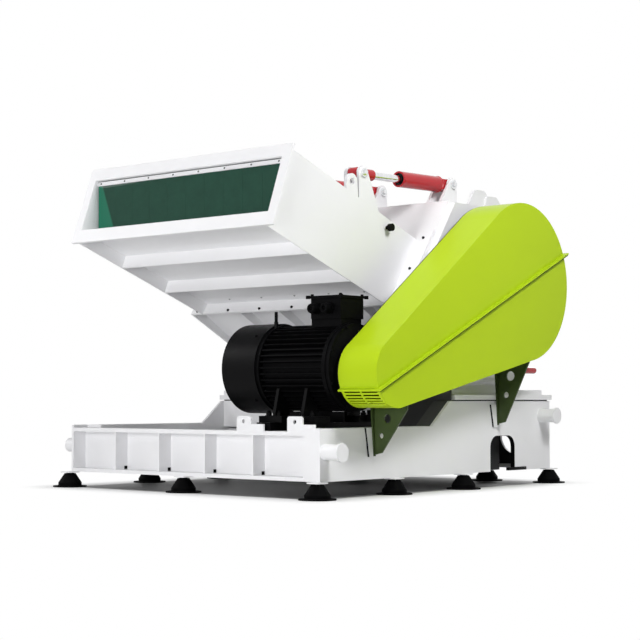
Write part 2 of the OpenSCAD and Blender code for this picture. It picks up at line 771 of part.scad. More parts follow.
module hopper_knob() color("black") at_row() {
  bar_x(chute_x, chute_x + 22, 1046, 1821, 14);
  bar_x(chute_x + 22, chute_x + 52, 1046, 1821, 26);
}

// ---- Hydraulic cylinders ----
// Places a cylinder lying along +Z from its rear pin towards the front pin
module cyl_place(i)
  translate([cyl_x[i], rear_pin[0], rear_pin[1]]) rotate([90 - cyl_ang + 0, 0, 0]) children();

barrel_l = 568;
sleeve_l = 168;
module barrel(i) color("crimson") at_row()
  translate([cyl_x[i], rear_pin[0], rear_pin[1]]) rotate([90 + cyl_ang, 0, 0]) {
    difference() {
      union() {
        translate([0, 0, 100]) cylinder(r = barrel_r, h = barrel_l - 100);
        rotate([0, 90, 0]) translate([0, 0, -40]) cylinder(r = 44, h = 80);
        translate([-38, -38, 0]) cube([76, 76, 100]);
      }
      rotate([0, 90, 0]) translate([0, 0, -46]) cylinder(r = pin_r + 0.05, h = 92);
      translate([0, 0, 90]) cylinder(r = rod_r + 0.05, h = barrel_l);
      translate([0, 0, barrel_l - 40]) cylinder(r = barrel_r - 12, h = 41);
    }
  }

module rod(i) color("silver") at_row()
  translate([cyl_x[i], rear_pin[0], rear_pin[1]]) rotate([90 + cyl_ang, 0, 0]) {
    translate([0, 0, 260]) cylinder(r = rod_r, h = cyl_len - sleeve_l - 260);
    difference() {
      union() {
        translate([0, 0, cyl_len - sleeve_l]) cylinder(r = 40, h = sleeve_l - 35);
        translate([0, 0, cyl_len]) rotate([0, 90, 0]) translate([0, 0, -38]) cylinder(r = 44, h = 76);
      }
      translate([0, 0, cyl_len]) rotate([0, 90, 0]) translate([0, 0, -41])
        cylinder(r = pin_r + open_gap, h = 82);
    }
  }

module barrel_1() barrel(0);
module barrel_2() barrel(1);
module barrel_3() barrel(2);
module barrel_4() barrel(3);
module rod_1() rod(0);
module rod_2() rod(1);
module rod_3() rod(2);
module rod_4() rod(3);

module barrel_pins() color("silver") at_row()
  for (x = cyl_x) {
    bar_x(x - 80, x + 80, rear_pin[0], rear_pin[1], pin_r);
    bar_x(x + lug_gap + lug_t, x + lug_gap + lug_t + 14, rear_pin[0], rear_pin[1], pin_r + 12);
  }

module rod_pins() color("silver") at_row()
  for (x = cyl_x) {
    bar_x(x - 80, x + 80, front_pin[0], front_pin[1], pin_r);
    bar_x(x + lug_gap + lug_t, x + lug_gap + lug_t + 14, front_pin[0], front_pin[1], pin_r + 12);
  }

base_front_beam();
base_right_beam();
base_right_core();
base_left_beam();
base_rear_beam();
base_cross_beams();
bed_front_plate();
bed_end_cover();
bed_plates();
motor_table();
trunnions();
pads();
foot_plates();
motor_frame();
motor_feet();
motor_fan_cowl();
motor_end_shield();
motor_terminal_box();
motor_rails();
motor_eye_bolt();
guard_back_plate();
guard_upper_cover();
guard_lower_cover();
guard_bracket_front();
guard_bracket_rear();
lower_housing();
upper_housing();
housing_front_plate();
housing_lugs();
rear_lugs();
screen_cylinder();
hopper_chute();
mouth_flange();
hopper_ribs();
hopper_rear_flange();
hopper_lugs();
lifting_eyes();
hopper_hinge();
housing_hinge();
curtain_bar();
curtain();
hopper_knob();
barrel_1();
barrel_2();
barrel_3();
barrel_4();
rod_1();
rod_2();
rod_3();
rod_4();
barrel_pins();
rod_pins();
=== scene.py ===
import json
import math

import bmesh
import bpy
from mathutils import Matrix, Vector


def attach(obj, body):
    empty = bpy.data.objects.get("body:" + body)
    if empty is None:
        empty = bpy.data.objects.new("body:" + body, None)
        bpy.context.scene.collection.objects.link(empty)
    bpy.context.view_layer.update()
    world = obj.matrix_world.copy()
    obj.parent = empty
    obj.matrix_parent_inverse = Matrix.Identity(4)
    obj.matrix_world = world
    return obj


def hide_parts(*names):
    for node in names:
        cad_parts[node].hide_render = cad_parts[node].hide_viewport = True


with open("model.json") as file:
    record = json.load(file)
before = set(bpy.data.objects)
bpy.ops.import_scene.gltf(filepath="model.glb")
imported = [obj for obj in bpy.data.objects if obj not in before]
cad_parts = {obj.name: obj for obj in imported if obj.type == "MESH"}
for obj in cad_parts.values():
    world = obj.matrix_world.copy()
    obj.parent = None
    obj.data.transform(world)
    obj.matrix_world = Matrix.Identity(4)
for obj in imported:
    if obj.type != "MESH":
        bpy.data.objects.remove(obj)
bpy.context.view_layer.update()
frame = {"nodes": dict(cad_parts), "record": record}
nodes = frame["nodes"]
print("frame loaded:", len(nodes), "nodes")

# Machine measures are in millimetres from the middle of the base, its front beam and the floor
machineMiddle = (118.0, 1300.0)


def metres(millimetres):
    return millimetres / 1000


def place(x, y, z):
    return Vector((metres(x - machineMiddle[0]), metres(y - machineMiddle[1]), metres(z)))


def leaning(degrees):
    # A unit direction square to X, counted from +Y towards +Z
    return Vector((0, math.cos(math.radians(degrees)), math.sin(math.radians(degrees))))


# ---- Camera and light ----
view = {
    "from": (7.4787, -8.8727, 0.640),
    "turn": 40.28,
    "tip": 2.83,
    "lens": 88.67,
    "sensor": 36,
    "farthest": 100,
}


def makeCamera(v):
    data = bpy.data.cameras.new("camera")
    data.lens = v["lens"]
    data.sensor_width = v["sensor"]
    data.clip_end = v["farthest"]
    camera = bpy.data.objects.new("camera", data)
    camera.location = v["from"]
    camera.rotation_euler = (math.radians(90 + v["tip"]), 0, math.radians(v["turn"]))
    bpy.context.scene.collection.objects.link(camera)
    bpy.context.scene.camera = camera
    bpy.context.scene.view_settings.view_transform = "Standard"


lampSet = {
    "frontSoftbox": dict(at=(2.0, -9.5, 1.2), size=3.6, power=508),
    "rightSoftbox": dict(at=(5.2, -0.8, 5.0), size=1.8, power=262),
    "topSoftbox": dict(at=(0.2, -2.0, 7.4), size=3.0, power=105),
    "leftSoftbox": dict(at=(-6.0, -4.0, 4.0), size=3.0, power=110),
    "rearSoftbox": dict(at=(-1.5, 8.5, 4.5), size=4.0, power=210),
}
lampTarget = Vector((0, 0, 0.9))


def addLamp(name, at, size, power):
    lamp = bpy.data.lights.new(name, "AREA")
    lamp.shape = "DISK"
    lamp.size = size
    lamp.energy = power
    holder = bpy.data.objects.new(name, lamp)
    holder.location = at
    aim = lampTarget - Vector(at)
    holder.rotation_euler = aim.to_track_quat("-Z", "Y").to_euler()
    bpy.context.scene.collection.objects.link(holder)


def mathNode(tree, operation, *values):
    # Numbers are set on the sockets, and outputs of other nodes are linked to them
    node = tree.nodes.new("ShaderNodeMath")
    node.operation = operation
    for socket, value in zip(node.inputs, values):
        if isinstance(value, float):
            socket.default_value = value
        else:
            tree.links.new(value, socket)
    return node.outputs[0]


def seenRays(tree):
    # 1 for what the camera, metal and glass see, 0 for what lights the object
    path = tree.nodes.new("ShaderNodeLightPath")
    camera, glossy, through = [
        path.outputs["Is %s Ray" % kind] for kind in ("Camera", "Glossy", "Transmission")]
    return mathNode(tree, "MAXIMUM", camera, mathNode(tree, "MAXIMUM", glossy, through))


def mixInto(tree, surface, share, first, second):
    mix = tree.nodes.new("ShaderNodeMixShader")
    for socket, source in zip(mix.inputs, (share, first, second)):
        tree.links.new(source, socket)
    tree.links.new(mix.outputs[0], surface)


def spread(tree, value, low, high, fromLow=0.3, fromHigh=0.7, smooth=False):
    ranged = tree.nodes.new("ShaderNodeMapRange")
    if smooth:
        ranged.interpolation_type = "SMOOTHSTEP"
    ranged.inputs["From Min"].default_value = fromLow
    ranged.inputs["From Max"].default_value = fromHigh
    ranged.inputs["To Min"].default_value = low
    ranged.inputs["To Max"].default_value = high
    tree.links.new(value, ranged.inputs["Value"])
    return ranged.outputs["Result"]


# Colour and strength of what lights the object, and of the backdrop that is seen
worldLook = {
    "ambient": ((0.95, 0.97, 1.0, 1), 0.06),
    "seen": ((1, 1, 1, 1), 1.0),
}


def makeWorld(look):
    world = bpy.data.worlds.new("studio")
    bpy.context.scene.world = world
    world.use_nodes = True
    tree = world.node_tree
    tree.nodes.clear()
    output = tree.nodes.new("ShaderNodeOutputWorld")
    shades = []
    for colour, strength in (look["ambient"], look["seen"]):
        shade = tree.nodes.new("ShaderNodeBackground")
        shade.inputs["Color"].default_value = colour
        shade.inputs["Strength"].default_value = strength
        shades.append(shade.outputs[0])
    mixInto(tree, output.inputs["Surface"], seenRays(tree), *shades)


floorLook = {
    "size": 40,
    "middle": (-0.118, 0.045),
    "half": (1.14, 1.34),  # half the footprint inside which the floor's colour is painted dark as the object's shadow
    "fade": 0.42,  # width of the change from the shade to the white backdrop
    "shade": 0.20,
    "pale": 0.80,
    "paleFrom": 0.05,
    "roughness": 0.45,
    "specular": 0.12,
}


def floorMaterial(look):
    material = bpy.data.materials.new("floorWhite")
    material.use_nodes = True
    tree = material.node_tree
    tree.nodes.clear()
    output = tree.nodes.new("ShaderNodeOutputMaterial")
    matt = tree.nodes.new("ShaderNodeBsdfPrincipled")
    matt.inputs["Roughness"].default_value = look["roughness"]
    matt.inputs["Specular IOR Level"].default_value = look["specular"]
    # Distance outside the footprint decides how much of the white backdrop the floor takes on
    where = tree.nodes.new("ShaderNodeTexCoord")
    split = tree.nodes.new("ShaderNodeSeparateXYZ")
    tree.links.new(where.outputs["Object"], split.inputs[0])
    squares = []
    for axis, middle, half in zip("XY", look["middle"], look["half"]):
        centred = mathNode(tree, "ABSOLUTE", mathNode(tree, "SUBTRACT", split.outputs[axis], middle))
        out = mathNode(tree, "MAXIMUM", mathNode(tree, "SUBTRACT", centred, half), 0.0)
        squares.append(mathNode(tree, "MULTIPLY", out, out))
    away = mathNode(tree, "SQRT", mathNode(tree, "ADD", *squares))
    # The floor's colour is a painted shadow: dark inside the footprint and pale outside it
    tone = spread(tree, away, look["shade"], look["pale"], 0.0, look["paleFrom"])
    grey = tree.nodes.new("ShaderNodeCombineColor")
    for socket in grey.inputs[:3]:
        tree.links.new(tone, socket)
    tree.links.new(grey.outputs[0], matt.inputs["Base Color"])
    white = tree.nodes.new("ShaderNodeEmission")
    white.inputs["Color"].default_value = (1, 1, 1, 1)
    white.inputs["Strength"].default_value = 1.0
    backdrop = spread(tree, away, 0.0, 1.0, 0.0, look["fade"], smooth=True)
    share = mathNode(tree, "MULTIPLY", seenRays(tree), backdrop)
    mixInto(tree, output.inputs["Surface"], share, matt.outputs[0], white.outputs[0])
    return material


def makeFloor(look):
    bm = bmesh.new()
    bmesh.ops.create_grid(bm, x_segments=1, y_segments=1, size=look["size"])
    mesh = bpy.data.meshes.new("floor")
    bm.to_mesh(mesh)
    bm.free()
    floor = bpy.data.objects.new("floor", mesh)
    bpy.context.scene.collection.objects.link(floor)
    mesh.materials.append(floorMaterial(look))


makeCamera(view)
for lampName, lampValues in lampSet.items():
    addLamp(lampName, **lampValues)
makeWorld(worldLook)
makeFloor(floorLook)
print("camera, lamps and floor made")


# ---- Finishes ----
def finishNodes(name, colour, roughness, metallic=0.0, specular=0.5):
    material = bpy.data.materials.new(name)
    material.use_nodes = True
    tree = material.node_tree
    shader = tree.nodes["Principled BSDF"]
    shader.inputs["Base Color"].default_value = (*colour, 1)
    shader.inputs["Roughness"].default_value = roughness
    shader.inputs["Metallic"].default_value = metallic
    shader.inputs["Specular IOR Level"].default_value = specular
    coordinates = tree.nodes.new("ShaderNodeTexCoord")
    return material, tree, shader, coordinates.outputs["Object"]


def noiseAt(tree, where, scale, detail, rough):
    noise = tree.nodes.new("ShaderNodeTexNoise")
    noise.inputs["Scale"].default_value = scale
    noise.inputs["Detail"].default_value = detail
    noise.inputs["Roughness"].default_value = rough
    tree.links.new(where, noise.inputs["Vector"])
    return noise.outputs["Fac"]


def tintBetween(tree, value, dark, light):
    mix = tree.nodes.new("ShaderNodeMix")
    mix.data_type = "RGBA"
    mix.inputs["A"].default_value = (*dark, 1)
    mix.inputs["B"].default_value = (*light, 1)
    tree.links.new(value, mix.inputs["Factor"])
    return mix.outputs["Result"]


def bumpFrom(tree, shader, height, strength, distance):
    bump = tree.nodes.new("ShaderNodeBump")
    bump.inputs["Strength"].default_value = strength
    bump.inputs["Distance"].default_value = distance
    tree.links.new(height, bump.inputs["Height"])
    tree.links.new(bump.outputs["Normal"], shader.inputs["Normal"])


# Each noise below is given by its scale, detail and roughness
sprayLook = {
    "broad": (1.6, 4.0, 0.55),
    "fine": (38.0, 3.0, 0.6),
    "peel": (330.0, 2.0, 0.5),
    "depth": 0.0006,
    "coatRoughness": 0.08,
}


def sprayedPaint(name, colour, roughness, drift=0.04, peel=0.18, coat=0.0, specular=0.5, dust=0.06):
    # Broad drift in tone, a little dust in the roughness and a fine orange peel
    look = sprayLook
    material, tree, shader, where = finishNodes(name, colour, roughness, 0.0, specular)
    broad, fine, skin = [noiseAt(tree, where, *look[key]) for key in ("broad", "fine", "peel")]
    darker = tuple(c * (1 - drift) for c in colour)
    lighter = tuple(min(1.0, c * (1 + drift)) for c in colour)
    tint = tintBetween(tree, spread(tree, broad, 0.0, 1.0), darker, lighter)
    tree.links.new(tint, shader.inputs["Base Color"])
    tree.links.new(spread(tree, fine, roughness - dust, roughness + dust), shader.inputs["Roughness"])
    bumpFrom(tree, shader, skin, peel, look["depth"])
    shader.inputs["Coat Weight"].default_value = coat
    shader.inputs["Coat Roughness"].default_value = look["coatRoughness"]
    return material


castLook = {
    "big": (26.0, 4.0, 0.6),
    "small": (210.0, 3.0, 0.6),
    "worn": (1.7, 0.0006),  # the paler tint is the colour times the first, plus the second
    "sheen": (-0.06, 0.1),
    "specular": 0.03,
    "lump": 0.5,
    "depth": 0.0012,
}


def castPaint(name, colour, roughness):
    # Paint over rough castings: two sizes of lump and a patchy sheen
    look = castLook
    material, tree, shader, where = finishNodes(name, colour, roughness, 0.0, look["specular"])
    big, small = [noiseAt(tree, where, *look[key]) for key in ("big", "small")]
    lighter = tuple(c * look["worn"][0] + look["worn"][1] for c in colour)
    tint = tintBetween(tree, spread(tree, big, 0.0, 1.0), colour, lighter)
    tree.links.new(tint, shader.inputs["Base Color"])
    sheen = spread(tree, small, *[roughness + step for step in look["sheen"]])
    tree.links.new(sheen, shader.inputs["Roughness"])
    bumpFrom(tree, shader, mathNode(tree, "ADD", big, small), look["lump"], look["depth"])
    return material


rubberLook = {
    "grain": (420.0, 2.0, 0.6),
    "dust": (9.0, 5.0, 0.65),
    "dustFrom": (0.45, 0.75),
    "dusty": (1.8, 0.0008),
    "roughness": 0.62,
    "sheen": (0.55, 0.75),
    "specular": 0.03,
    "bump": 0.3,
    "depth": 0.0008,
}


def mouldedRubber(name, colour):
    # Fine moulded grain with dust in patches
    look = rubberLook
    material, tree, shader, where = finishNodes(name, colour, look["roughness"], 0.0, look["specular"])
    grain, dust = [noiseAt(tree, where, *look[key]) for key in ("grain", "dust")]
    dusty = tuple(c * look["dusty"][0] + look["dusty"][1] for c in colour)
    tint = tintBetween(tree, spread(tree, dust, 0.0, 1.0, *look["dustFrom"]), colour, dusty)
    tree.links.new(tint, shader.inputs["Base Color"])
    tree.links.new(spread(tree, dust, *look["sheen"]), shader.inputs["Roughness"])
    bumpFrom(tree, shader, grain, look["bump"], look["depth"])
    return material


steelLook = {
    "turns": {"Scale": 260.0, "Distortion": 1.4, "Detail": 2.0},
    "cloud": (30.0, 3.0, 0.6),
    "sheen": (-0.04, 0.05),
    "darker": 0.9,
    "depth": 0.0003,
}


def turnedSteel(name, colour, roughness, marks=0.12):
    # Fine turning marks and a cloudy sheen
    look = steelLook
    material, tree, shader, where = finishNodes(name, colour, roughness, 1.0)
    wave = tree.nodes.new("ShaderNodeTexWave")
    wave.bands_direction = "X"
    for socketName, value in look["turns"].items():
        wave.inputs[socketName].default_value = value
    tree.links.new(where, wave.inputs["Vector"])
    cloud = noiseAt(tree, where, *look["cloud"])
    sheen = spread(tree, cloud, *[roughness + step for step in look["sheen"]])
    tree.links.new(sheen, shader.inputs["Roughness"])
    darker = tuple(c * look["darker"] for c in colour)
    tint = tintBetween(tree, spread(tree, cloud, 0.0, 1.0), darker, colour)
    tree.links.new(tint, shader.inputs["Base Color"])
    bumpFrom(tree, shader, wave.outputs["Fac"], marks, look["depth"])
    return material


sheetLook = {
    "sway": (1.1, 2.0, 0.4),
    "film": (14.0, 4.0, 0.6),
    "darker": 0.86,
    "roughness": 0.05,
    "sheen": (0.04, 0.09),
    "specular": 0.12,
    "bump": 0.05,
    "depth": 0.002,
}


def polishedSheet(name, colour, edge):
    # Smooth calendered sheet with a faint roll waviness, and a painted reflection that makes it paler
    # beyond a slanting edge
    look = sheetLook
    material, tree, shader, where = finishNodes(name, colour, look["roughness"], 0.0, look["specular"])
    sway, film = [noiseAt(tree, where, *look[key]) for key in ("sway", "film")]
    darker = tuple(c * look["darker"] for c in colour)
    tint = tintBetween(tree, spread(tree, film, 0.0, 1.0), darker, colour)
    split = tree.nodes.new("ShaderNodeVectorMath")
    split.operation = "DOT_PRODUCT"
    split.inputs[1].default_value = edge["across"]
    tree.links.new(where, split.inputs[0])
    near = spread(tree, split.outputs["Value"], 1.0, 0.0, edge["start"], edge["end"])
    # The paler colour beyond the edge is a painted reflection
    paintedReflection = tree.nodes.new("ShaderNodeMix")
    paintedReflection.data_type = "RGBA"
    paintedReflection.inputs["B"].default_value = (*edge["colour"], 1)
    tree.links.new(near, paintedReflection.inputs["Factor"])
    tree.links.new(tint, paintedReflection.inputs["A"])
    tree.links.new(paintedReflection.outputs["Result"], shader.inputs["Base Color"])
    tree.links.new(spread(tree, film, *look["sheen"]), shader.inputs["Roughness"])
    bumpFrom(tree, shader, sway, look["bump"], look["depth"])
    return material


def copyShader(tree, source):
    # Copies another finish's nodes into this tree and gives back its shader socket
    twins = {}
    for node in source.node_tree.nodes:
        if node.bl_idname == "ShaderNodeOutputMaterial":
            continue
        twin = tree.nodes.new(node.bl_idname)
        for setting in ("operation", "data_type", "bands_direction"):
            if hasattr(node, setting):
                setattr(twin, setting, getattr(node, setting))
        for mine, theirs in zip(twin.inputs, node.inputs):
            if hasattr(theirs, "default_value"):
                mine.default_value = theirs.default_value
        twins[node] = twin
    for link in source.node_tree.links:
        if link.to_node in twins and link.from_node in twins:
            outIndex = list(link.from_node.outputs).index(link.from_socket)
            inIndex = list(link.to_node.inputs).index(link.to_socket)
            tree.links.new(twins[link.from_node].outputs[outIndex], twins[link.to_node].inputs[inIndex])
    return twins[source.node_tree.nodes["Principled BSDF"]].outputs["BSDF"]


def stepMix(name, axis, edge, below, above):
    # One finish below a plane across the object and another above it
    material = bpy.data.materials.new(name)
    material.use_nodes = True
    tree = material.node_tree
    tree.nodes.clear()
    output = tree.nodes.new("ShaderNodeOutputMaterial")
    coordinates = tree.nodes.new("ShaderNodeTexCoord")
    split = tree.nodes.new("ShaderNodeSeparateXYZ")
    tree.links.new(coordinates.outputs["Object"], split.inputs[0])
    side = mathNode(tree, "GREATER_THAN", split.outputs[axis], edge)
    shaders = [copyShader(tree, source) for source in (below, above)]
    mixInto(tree, output.inputs["Surface"], side, *shaders)
    return material


whitePaint = sprayedPaint(
    "whitePaint", (0.80, 0.80, 0.815), 0.42, drift=0.012, peel=0.05, dust=0.04)
blackPaint = sprayedPaint(
    "blackPaint", (0.0024, 0.0024, 0.0027), 0.36, drift=0.2, peel=0.12, specular=0.055)
coverGrey = sprayedPaint(
    "coverGrey", (0.075, 0.075, 0.077), 0.5, drift=0.1, peel=0.12, specular=0.1)
# Dark grey given to the plates that paint the shade inside the base
shadeGrey = sprayedPaint(
    "shadeGrey", (0.036, 0.036, 0.037), 0.5, drift=0.1, peel=0.12, specular=0.1)
guardGreen = sprayedPaint(
    "guardGreen", (0.42, 0.58, 0.011), 0.30, drift=0.01, peel=0.02, specular=0.1, dust=0.02)
bracketOlive = sprayedPaint(
    "bracketOlive", (0.038, 0.058, 0.017), 0.38, drift=0.05, peel=0.06, coat=0.03, specular=0.2)
cylinderRed = sprayedPaint(
    "cylinderRed", (0.44, 0.008, 0.015), 0.18, drift=0.02, peel=0.01, coat=0.15, specular=0.3,
    dust=0.02)
castBlack = castPaint("castBlack", (0.0013, 0.0013, 0.0015), 0.45)
padRubber = mouldedRubber("padRubber", (0.0012, 0.0012, 0.0014))
# Dark rubber given only to strips that paint shade into gaps and under edges
paintedShadeRubber = mouldedRubber("paintedShadeRubber", (0.012, 0.012, 0.013))
# Dark green for the strip that paints the lip's shadow on the guard
lipShadeGreen = mouldedRubber("lipShadeGreen", (0.010, 0.040, 0.006))
brightSteel = turnedSteel("brightSteel", (0.84, 0.85, 0.86), 0.16, marks=0.03)
boltSteel = turnedSteel("boltSteel", (0.30, 0.31, 0.32), 0.34)
boltBlack = turnedSteel("boltBlack", (0.022, 0.022, 0.024), 0.42)
# The paler band at the curtain's left edge is a painted reflection
curtainGreen = polishedSheet("curtainGreen", (0.016, 0.062, 0.041), {
    "across": (1.0, 0.0, 0.39),
    "start": -0.130,
    "end": -0.112,
    "colour": (0.022, 0.165, 0.100),
})
# The cylinders' front eyes are red like the barrels and their rods are bright
rodFinish = stepMix("rodFinish", "Y", place(0, 958.4, 0).y, cylinderRed, brightSteel)
# The white plate that the housing stands on is painted dark along its lowest strip, a painted shadow
# for the gap under it
bedPaintedShadow = stepMix("bedPaintedShadow", "Z", metres(626.3), paintedShadeRubber, whitePaint)

slotFinish = {
    "white_paint": whitePaint,
    "black_paint": blackPaint,
    "pad_rubber": padRubber,
    "guard_green": guardGreen,
    "bracket_olive": bracketOlive,
    "cylinder_red": cylinderRed,
    "bright_steel": brightSteel,
    "curtain_green": curtainGreen,
}
nodeFinish = {
    "bed_end_cover": coverGrey,
    "motor_frame": castBlack,
    "motor_end_shield": castBlack,
    "motor_terminal_box": castBlack,
    "bed_plates": bedPaintedShadow,
    "rod_1": rodFinish,
    "rod_2": rodFinish,
    "rod_3": rodFinish,
    "rod_4": rodFinish,
}


def dressNodes():
    for part in frame["record"]["subparts"]:
        piece = nodes[part["node"]]
        finish = nodeFinish.get(part["node"]) or slotFinish[part["material_slot"]]
        piece.data.materials.clear()
        piece.data.materials.append(finish)


dressNodes()
print("finishes made and given to the frame's nodes")

# ---- Making pieces ----
pieceEdges = {
    "weld": 0.00001,  # metres
    "sharp": 35.0,  # degrees past which an edge isn't shaded smooth
}


def newPiece(name, bm, finish, body):
    bmesh.ops.remove_doubles(bm, verts=bm.verts, dist=pieceEdges["weld"])
    bmesh.ops.recalc_face_normals(bm, faces=bm.faces)
    limit = math.radians(pieceEdges["sharp"])
    for face in bm.faces:
        face.smooth = True
    for edge in bm.edges:
        if len(edge.link_faces) != 2 or edge.calc_face_angle(0.0) > limit:
            edge.smooth = False
    mesh = bpy.data.meshes.new(name)
    bm.to_mesh(mesh)
    bm.free()
    piece = bpy.data.objects.new(name, mesh)
    bpy.context.scene.collection.objects.link(piece)
    mesh.materials.append(finish)
    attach(piece, body)
    return piece


def facing(direction):
    # Turns +Z to the given direction
    return Vector(direction).normalized().to_track_quat("Z", "Y").to_matrix().to_4x4()


# The radii, heights and outlines given to the functions below are in millimetres
def addRound(bm, at, direction, radius, height, topRadius=None, segments=24):
    deep = metres(height)
    matrix = Matrix.Translation(at) @ facing(direction) @ Matrix.Translation((0, 0, deep / 2))
    bmesh.ops.create_cone(
        bm, cap_ends=True, segments=segments, radius1=metres(radius),
        radius2=metres(radius if topRadius is None else topRadius), depth=deep, matrix=matrix)


def addTurned(bm, at, direction, profile, segments=40):
    # Turns a closed outline of (radius, height) points about the given direction
    before = set(bm.verts)
    verts = [bm.verts.new((metres(radius), 0, metres(height))) for radius, height in profile]
    edges = [bm.edges.new(pair) for pair in zip(verts, verts[1:] + verts[:1])]
    bmesh.ops.spin(bm, geom=verts + edges, cent=(0, 0, 0), axis=(0, 0, 1), dvec=(0, 0, 0),
                   angle=math.tau, steps=segments, use_merge=True)
    matrix = Matrix.Translation(at) @ facing(direction)
    bmesh.ops.transform(bm, matrix=matrix, verts=[v for v in bm.verts if v not in before])


def roundWire(radius, thick, steps, height=0.0):
    # The outline of a ring of round wire, for addTurned
    turns = [math.tau * step / steps for step in range(steps)]
    return [(radius + thick * math.cos(turn), height + thick * math.sin(turn)) for turn in turns]


def addPlate(bm, low, high, bevel=0.0):
    # A box between two corners, with its edges softened
    size = Vector(high) - Vector(low)
    matrix = Matrix.Translation((Vector(low) + Vector(high)) / 2) @ Matrix.Diagonal((*size, 1))
    verts = bmesh.ops.create_cube(bm, size=1.0, matrix=matrix)["verts"]
    if bevel:
        edges = list({edge for vert in verts for edge in vert.link_edges})
        bmesh.ops.bevel(bm, geom=edges, offset=metres(bevel), segments=2, profile=0.5,
                        material=-1, affect="EDGES")


def addPrism(bm, outline, travel):
    # Extrudes a closed outline of points along a vector
    face = bm.faces.new([bm.verts.new(point) for point in outline])
    made = bmesh.ops.extrude_face_region(bm, geom=[face])["geom"]
    moved = [part for part in made if isinstance(part, bmesh.types.BMVert)]
    bmesh.ops.translate(bm, vec=travel, verts=moved)


def addSkin(bm, rings, closed):
    # Faces from each row of points to the next, and from the last row back to the first
    for rowA, rowB in zip(rings, rings[1:] + rings[:1]):
        for k in range(len(rowA) if closed else len(rowA) - 1):
            n = (k + 1) % len(rowA)
            bm.faces.new((rowA[k], rowA[n], rowB[n], rowB[k]))


hexHead = {
    "washer": 0.72,  # its radius, as a share of the head's width across the flats
    "washerThick": 2.5,
    "washerSides": 20,
    "flats": 0.8,  # share of the height below the chamfer
    "chamfer": 0.86,
}
panHead = {"rim": 0.5, "crown": 0.6, "segments": 14}


def addHead(bm, at, direction, radius, height, share, crown, segments):
    # A straight rim and a narrowing crown on top of it
    rim = height * share
    addRound(bm, at, direction, radius, rim, segments=segments)
    top = at + Vector(direction).normalized() * metres(rim)
    addRound(bm, top, direction, radius, height - rim, topRadius=radius * crown, segments=segments)


def addHexBolt(bm, at, direction, across, height, washer=True):
    h = hexHead
    if washer:
        addRound(bm, at, direction, across * h["washer"], h["washerThick"], segments=h["washerSides"])
        at = at + Vector(direction).normalized() * metres(h["washerThick"])
    addHead(bm, at, direction, across / math.sqrt(3), height, h["flats"], h["chamfer"], 6)


def addPanHead(bm, at, direction, radius, height):
    p = panHead
    addHead(bm, at, direction, radius, height, p["rim"], p["crown"], p["segments"])


# ---- Feed mouth ----
mouth = {
    "lowerEdge": (-206.0, 1738.0),  # [y, z] of the flange's lower front edge
    "tilt": 20.0,
    "inside": 892.0,  # half the width between the chute's sides
}
chuteDown = leaning(-mouth["tilt"])
chuteUp = leaning(90 - mouth["tilt"])


def inChute(x, along, up):
    # x across, along the chute from the mouth and up from its lower edge
    return place(x, *mouth["lowerEdge"]) + chuteDown * metres(along) + chuteUp * metres(up)


curtainStrips = {
    "count": 10,
    "gap": 0.8,
    "margin": 10.0,
    "thick": 5.0,
    "top": 480.0,  # height of the strips' upper edge in the mouth
    "bend": 454.0,  # height at which they leave the bar and hang free
    "behindBar": 30.2,
    "lowEnd": 1846.0,
    "cells": (2, 14),
}


def makeCurtain(c):
    pitch = (2 * mouth["inside"] - 2 * c["margin"]) / c["count"]
    top = inChute(0, c["behindBar"], c["top"])
    bend = inChute(0, c["behindBar"], c["bend"])
    low = Vector((bend.x, bend.y, metres(c["lowEnd"])))
    held = (top - bend).length
    length = held + (bend - low).length
    width = metres(pitch - c["gap"])
    cellsX, cellsY = c["cells"]
    bm = bmesh.new()
    for i in range(c["count"]):
        middle = place(-mouth["inside"] + c["margin"] + (i + 0.5) * pitch, 0, 0).x
        made = bmesh.ops.create_grid(bm, x_segments=cellsX, y_segments=cellsY, size=0.5)
        for vert in made["verts"]:
            down = (0.5 - vert.co.y) * length
            across = vert.co.x * width
            if down < held:
                point = top.lerp(bend, down / held)
            else:
                point = bend.lerp(low, (down - held) / (length - held))
            vert.co = (middle + across, point.y, point.z)
    bmesh.ops.recalc_face_normals(bm, faces=bm.faces)
    bmesh.ops.solidify(bm, geom=bm.faces[:], thickness=metres(c["thick"]))
    piece = newPiece("curtain_strips", bm, curtainGreen, "hopper")
    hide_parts("curtain")


barScrews = {
    "along": 24.0,
    "up": 467.0,
    "reach": 0.955,  # share of the mouth's half width at which the last one sits
    "count": 8,
    "radius": 6.5,
    "height": 4.0,
}


def makeBarScrews(b):
    bm = bmesh.new()
    for i in range(b["count"]):
        share = b["reach"] * (2 * i / (b["count"] - 1) - 1)
        spot = inChute(share * mouth["inside"], b["along"], b["up"])
        addPanHead(bm, spot, -chuteDown, b["radius"], b["height"])
    newPiece("curtain_bar_screws", bm, boltBlack, "hopper")


mouthShadeStrip = {"along": (24.5, 34.0), "up": (480.3, 485.0), "sideGap": 1.0}


def makeMouthShadeStrip(s):
    # Dark strip in the gap between the bar and the flange above it, painted shade for that shadowed gap
    bm = bmesh.new()
    near, far = s["along"]
    low, high = s["up"]
    half = mouth["inside"] - s["sideGap"]
    section = ((near, low), (near, high), (far, high), (far, low))
    addPrism(bm, [inChute(-half, along, up) for along, up in section], (metres(2 * half), 0, 0))
    newPiece("mouth_shade_strip", bm, paintedShadeRubber, "hopper")


makeCurtain(curtainStrips)
makeBarScrews(barScrews)
makeMouthShadeStrip(mouthShadeStrip)
print("curtain and its bar done")

